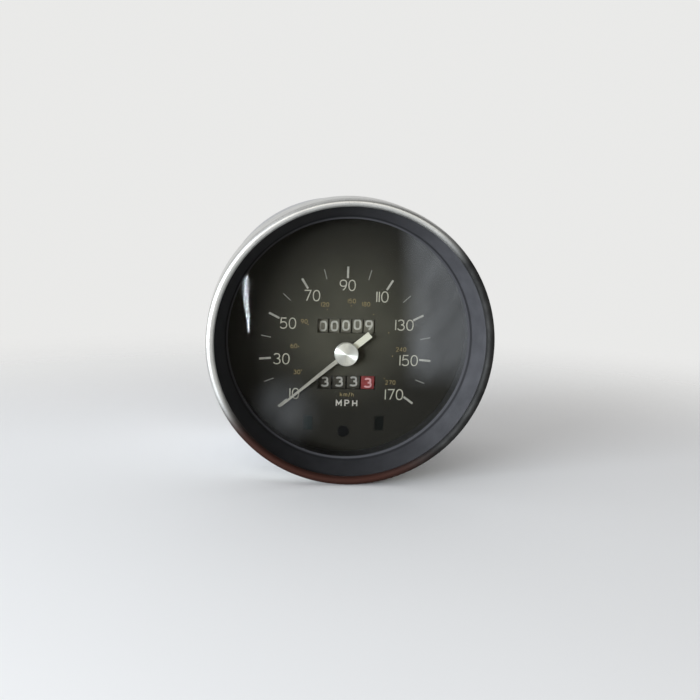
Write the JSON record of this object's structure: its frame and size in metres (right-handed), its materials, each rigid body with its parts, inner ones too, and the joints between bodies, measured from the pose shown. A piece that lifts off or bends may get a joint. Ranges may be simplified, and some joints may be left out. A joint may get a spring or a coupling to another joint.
{
  "type": "speedometer",
  "caption": "Round panel speedometer: bright bezel, black flare, recessed flat glass, black dial with needle and two drum counters over a drag-cup movement in a steel can.",
  "frame": {"origin": "on the case axis, in the plane where the bezel's hem sits on the panel", "axes": "+Y from the dial to the back along the case axis, +Z to twelve o'clock, +X to three o'clock"},
  "size_m": [0.12, 0.115, 0.12],
  "materials": {
    "bright_metal": "plated, lightly worn",
    "black_paint": "satin black with a fine grain",
    "clear_glass": "flat clear glass",
    "seal_rubber": "matt black",
    "case_steel": "zinc plated",
    "surround": "matt black",
    "dial_black": "matt black, printed",
    "lens_green": "dark, unlit",
    "lens_blue": "dark, unlit",
    "thin_aluminium": "plain",
    "needle_paint": "matt pale paint",
    "spun_cap": "spun",
    "plain_steel": "turned",
    "spring_bronze": "plain",
    "cast_zinc": "die cast",
    "movement_brass": "plain",
    "soft_iron": "plain",
    "drum_black": "matt, printed",
    "drum_red": "matt, printed",
    "pale_plastic": "moulded",
    "holder_black": "moulded",
    "bulb_glass": "clear"
  },
  "bodies": {
    "housing": {"bezel": "bright_metal", "flare_ring": "black_paint", "glass": "clear_glass", "glass_gasket": "seal_rubber", "case": "case_steel", "dial_surround": "surround", "dial_plate": "dial_black", "telltale_lens_left": "lens_green", "telltale_lens_middle": "lens_blue", "telltale_lens_right": "lens_green", "telltale_housing": "thin_aluminium", "hairspring": "spring_bronze", "spring_stud": "spring_bronze", "movement_frame": "cast_zinc", "pointer_bridge": "movement_brass", "bridge_screws": "plain_steel", "field_cup": "soft_iron", "movement_screws": "plain_steel", "cable_union": "cast_zinc", "rear_bush": "spring_bronze", "front_bush": "spring_bronze", "odometer_arbor": "plain_steel", "odometer_carriers": "thin_aluminium", "odometer_carrier_bar": "plain_steel", "trip_carriers": "thin_aluminium", "trip_carrier_bar": "plain_steel", "reset_union": "cast_zinc", "mounting_studs": "plain_steel", "lamp_holders": "holder_black", "lamp_bulbs": "bulb_glass", "earth_tab": "movement_brass"},
    "pointer": {"pointer_needle": "needle_paint", "pointer_cap": "spun_cap", "pointer_spindle": "plain_steel", "drag_cup": "thin_aluminium"},
    "drive": {"input_spindle": "plain_steel", "magnet": "soft_iron"},
    "cross": {"cross_shaft": "movement_brass"},
    "counter": {"counter_shaft": "movement_brass"},
    "odometer_drive": {"odometer_drive_wheel": "pale_plastic"},
    "trip_arbor": {"trip_arbor": "plain_steel"},
    "reset": {"reset_spindle": "plain_steel"},
    "odometer_drum_5": {"odometer_drum_5": "drum_black"},
    "odometer_pinion_5": {"odometer_pinion_5": "pale_plastic"},
    "odometer_drum_4": {"odometer_drum_4": "drum_black"},
    "odometer_pinion_4": {"odometer_pinion_4": "pale_plastic"},
    "odometer_drum_3": {"odometer_drum_3": "drum_black"},
    "odometer_pinion_3": {"odometer_pinion_3": "pale_plastic"},
    "odometer_drum_2": {"odometer_drum_2": "drum_black"},
    "odometer_pinion_2": {"odometer_pinion_2": "pale_plastic"},
    "odometer_drum_1": {"odometer_drum_1": "drum_black"},
    "odometer_pinion_1": {"odometer_pinion_1": "pale_plastic"},
    "trip_drum_4": {"trip_drum_4": "drum_red"},
    "trip_drum_3": {"trip_drum_3": "drum_black"},
    "trip_pinion_3": {"trip_pinion_3": "pale_plastic"},
    "trip_drum_2": {"trip_drum_2": "drum_black"},
    "trip_pinion_2": {"trip_pinion_2": "pale_plastic"},
    "trip_drum_1": {"trip_drum_1": "drum_black"},
    "trip_pinion_1": {"trip_pinion_1": "pale_plastic"}
  },
  "joints": [
    {"name": "pointer_swing", "type": "hinge", "parent": "housing", "child": "pointer", "pos_m": [0, 0.02, -0.008], "axis": [0, 1, 0], "range_deg": [0, 258], "stiffness_Nm_per_rad": 0.0001, "springref_deg": -45.84, "deforming": ["hairspring"]},
    {"name": "drive_spin", "type": "hinge", "parent": "housing", "child": "drive", "pos_m": [0, 0.055, -0.008], "axis": [0, 1, 0], "continuous": true},
    {"name": "cross_spin", "type": "hinge", "parent": "housing", "child": "cross", "pos_m": [0.018, 0.0558, 0.0008], "axis": [1, 0, 0], "continuous": true},
    {"name": "counter_spin", "type": "hinge", "parent": "housing", "child": "counter", "pos_m": [0.018, 0.03, -0.0088], "axis": [0, 1, 0], "continuous": true},
    {"name": "odometer_drive_spin", "type": "hinge", "parent": "housing", "child": "odometer_drive", "pos_m": [0.016, 0.0184, 0.0036], "axis": [1, 0, 0], "continuous": true},
    {"name": "odometer_drum_5_spin", "type": "hinge", "parent": "housing", "child": "odometer_drum_5", "pos_m": [0.01, 0.0184, 0.0036], "axis": [1, 0, 0], "continuous": true},
    {"name": "odometer_pinion_5_spin", "type": "hinge", "parent": "housing", "child": "odometer_pinion_5", "pos_m": [0.0115, 0.02295, 0.0036], "axis": [1, 0, 0], "continuous": true},
    {"name": "odometer_drum_4_spin", "type": "hinge", "parent": "housing", "child": "odometer_drum_4", "pos_m": [0.005, 0.0184, 0.0036], "axis": [1, 0, 0], "continuous": true},
    {"name": "odometer_pinion_4_spin", "type": "hinge", "parent": "housing", "child": "odometer_pinion_4", "pos_m": [0.0065, 0.02295, 0.0036], "axis": [1, 0, 0], "continuous": true},
    {"name": "odometer_drum_3_spin", "type": "hinge", "parent": "housing", "child": "odometer_drum_3", "pos_m": [0, 0.0184, 0.0036], "axis": [1, 0, 0], "continuous": true},
    {"name": "odometer_pinion_3_spin", "type": "hinge", "parent": "housing", "child": "odometer_pinion_3", "pos_m": [0.0015, 0.02295, 0.0036], "axis": [1, 0, 0], "continuous": true},
    {"name": "odometer_drum_2_spin", "type": "hinge", "parent": "housing", "child": "odometer_drum_2", "pos_m": [-0.005, 0.0184, 0.0036], "axis": [1, 0, 0], "continuous": true},
    {"name": "odometer_pinion_2_spin", "type": "hinge", "parent": "housing", "child": "odometer_pinion_2", "pos_m": [-0.0035, 0.02295, 0.0036], "axis": [1, 0, 0], "continuous": true},
    {"name": "odometer_drum_1_spin", "type": "hinge", "parent": "housing", "child": "odometer_drum_1", "pos_m": [-0.01, 0.0184, 0.0036], "axis": [1, 0, 0], "continuous": true},
    {"name": "odometer_pinion_1_spin", "type": "hinge", "parent": "housing", "child": "odometer_pinion_1", "pos_m": [-0.0085, 0.02295, 0.0036], "axis": [1, 0, 0], "continuous": true},
    {"name": "trip_drum_4_spin", "type": "hinge", "parent": "housing", "child": "trip_drum_4", "pos_m": [0.0104, 0.0184, -0.0212], "axis": [1, 0, 0], "continuous": true},
    {"name": "trip_drum_3_spin", "type": "hinge", "parent": "housing", "child": "trip_drum_3", "pos_m": [0.0041, 0.0184, -0.0212], "axis": [1, 0, 0], "continuous": true},
    {"name": "trip_pinion_3_spin", "type": "hinge", "parent": "housing", "child": "trip_pinion_3", "pos_m": [0.0061, 0.02295, -0.0212], "axis": [1, 0, 0], "continuous": true},
    {"name": "trip_drum_2_spin", "type": "hinge", "parent": "housing", "child": "trip_drum_2", "pos_m": [-0.0022, 0.0184, -0.0212], "axis": [1, 0, 0], "continuous": true},
    {"name": "trip_pinion_2_spin", "type": "hinge", "parent": "housing", "child": "trip_pinion_2", "pos_m": [-0.0002, 0.02295, -0.0212], "axis": [1, 0, 0], "continuous": true},
    {"name": "trip_drum_1_spin", "type": "hinge", "parent": "housing", "child": "trip_drum_1", "pos_m": [-0.0085, 0.0184, -0.0212], "axis": [1, 0, 0], "continuous": true},
    {"name": "trip_pinion_1_spin", "type": "hinge", "parent": "housing", "child": "trip_pinion_1", "pos_m": [-0.0065, 0.02295, -0.0212], "axis": [1, 0, 0], "continuous": true},
    {"name": "reset_turn", "type": "hinge", "parent": "housing", "child": "reset", "pos_m": [-0.0232, 0.05, -0.0212], "axis": [0, 1, 0], "continuous": true},
    {"name": "trip_arbor_turn", "type": "hinge", "parent": "housing", "child": "trip_arbor", "pos_m": [-0.018, 0.0184, -0.0212], "axis": [1, 0, 0], "continuous": true}
  ],
  "couplings": [
    {"joint": "cross_spin", "follows": "drive_spin", "ratio": -0.125},
    {"joint": "counter_spin", "follows": "drive_spin", "ratio": 0.015625},
    {"joint": "odometer_drive_spin", "follows": "drive_spin", "ratio": -0.000625},
    {"joint": "odometer_drum_5_spin", "follows": "drive_spin", "ratio": -0.0000625},
    {"joint": "odometer_pinion_5_spin", "follows": "drive_spin", "ratio": -0.00020833},
    {"joint": "odometer_drum_4_spin", "follows": "drive_spin", "ratio": -0.00000625},
    {"joint": "odometer_pinion_4_spin", "follows": "drive_spin", "ratio": -0.000020833},
    {"joint": "odometer_drum_3_spin", "follows": "drive_spin", "ratio": -0.000000625},
    {"joint": "odometer_pinion_3_spin", "follows": "drive_spin", "ratio": -0.0000020833},
    {"joint": "odometer_drum_2_spin", "follows": "drive_spin", "ratio": -0.0000000625},
    {"joint": "odometer_pinion_2_spin", "follows": "drive_spin", "ratio": -0.00000020833},
    {"joint": "odometer_drum_1_spin", "follows": "drive_spin", "ratio": -0.00000000625},
    {"joint": "odometer_pinion_1_spin", "follows": "drive_spin", "ratio": -0.000000020833},
    {"joint": "trip_drum_4_spin", "follows": "drive_spin", "ratio": 0.000625},
    {"joint": "trip_drum_3_spin", "follows": "drive_spin", "ratio": 0.0000625},
    {"joint": "trip_pinion_3_spin", "follows": "drive_spin", "ratio": 0.00020833},
    {"joint": "trip_drum_2_spin", "follows": "drive_spin", "ratio": 0.00000625},
    {"joint": "trip_pinion_2_spin", "follows": "drive_spin", "ratio": 0.000020833},
    {"joint": "trip_drum_1_spin", "follows": "drive_spin", "ratio": 0.000000625},
    {"joint": "trip_pinion_1_spin", "follows": "drive_spin", "ratio": 0.0000020833},
    {"joint": "trip_arbor_turn", "follows": "reset_turn", "ratio": -1.25}
  ]
}
